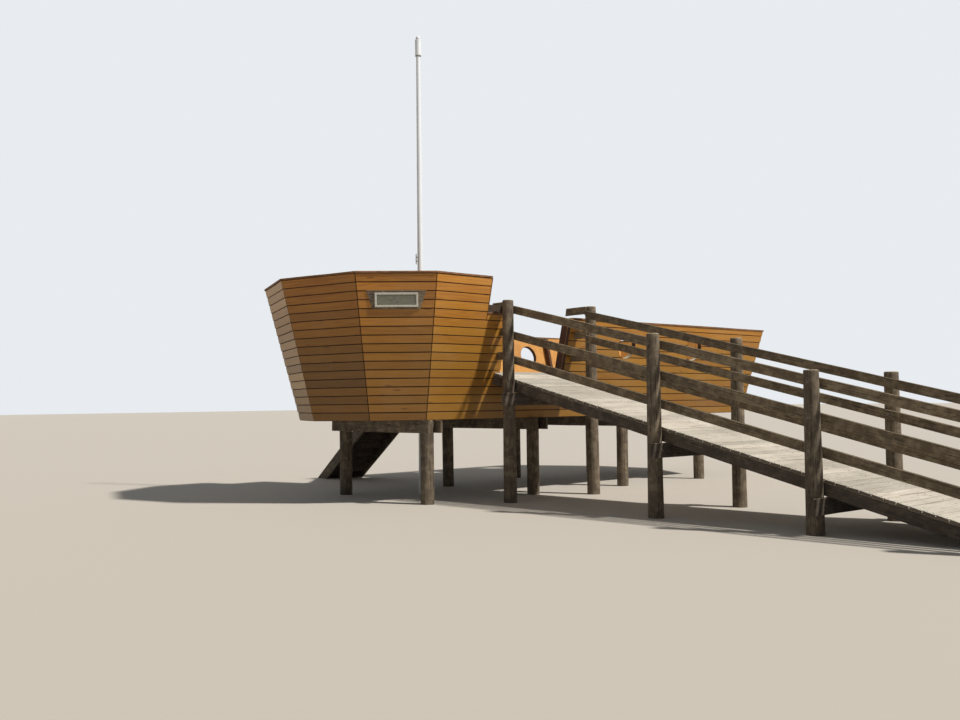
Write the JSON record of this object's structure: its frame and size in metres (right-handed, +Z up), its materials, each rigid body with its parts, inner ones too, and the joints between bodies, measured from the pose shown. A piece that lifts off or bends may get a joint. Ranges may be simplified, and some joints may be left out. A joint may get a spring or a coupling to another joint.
{
  "type": "ship-shaped timber beach platform with access ramp",
  "caption": "Ship-shaped timber lookout platform on round posts, with a raised castle end, portholes, a railed access ramp, a stair on the far side and a tapered white mast.",
  "frame": {"origin": "centre of the mast's foot, on the ground and on the ship's centre line", "axes": "+X along the ship from the castle to the bow, -Y to the ramp side, +Z up"},
  "size_m": [11.4825, 14.9031, 8.25],
  "materials": {
    "golden_boards": "oiled softwood cladding boards, golden where the sun reaches them",
    "inner_timber": "planed golden softwood",
    "bleached_deck": "sun-bleached, sand-worn deck boards",
    "grey_timber": "weathered grey-brown round posts and rails with drying splits",
    "dark_timber": "rough-sawn dark framing timber",
    "sign_paint": "matt grey-green painted board",
    "white_mast": "white satin paint"
  },
  "bodies": {
    "root": {"castle_front_near": "golden_boards", "castle_front_far": "golden_boards", "castle_quarter_near": "golden_boards", "castle_quarter_far": "golden_boards", "castle_side_near": "golden_boards", "castle_side_far": "golden_boards", "castle_cap": "golden_boards", "castle_studs": "inner_timber", "castle_deck": "bleached_deck", "castle_joists": "dark_timber", "castle_bulkhead": "inner_timber", "waist_wall_near": "golden_boards", "waist_wall_far": "golden_boards", "sill_wall_near": "golden_boards", "sill_wall_far": "golden_boards", "side_wall_near": "golden_boards", "side_wall_far": "golden_boards", "bow_wall_near": "golden_boards", "bow_wall_far": "golden_boards", "rim_cap": "golden_boards", "wall_studs": "inner_timber", "jamb_studs": "dark_timber", "waist_rail": "grey_timber", "main_deck": "bleached_deck", "deck_joists": "dark_timber", "deck_props": "dark_timber", "floor_bearers": "dark_timber", "cross_beams": "dark_timber", "hull_posts": "grey_timber", "ramp_deck": "bleached_deck", "ramp_stringers": "dark_timber", "ramp_cross_beams": "dark_timber", "ramp_posts_near": "grey_timber", "ramp_posts_far": "grey_timber", "ramp_rails_near": "grey_timber", "ramp_rails_far": "grey_timber", "stair_stringers": "dark_timber", "stair_treads": "bleached_deck", "stair_risers": "dark_timber", "sign_backing": "grey_timber", "sign_board": "sign_paint", "mast": "white_mast", "mast_head": "white_mast", "mast_cleat": "grey_timber", "mast_clamp": "grey_timber"}
  },
  "joints": []
}
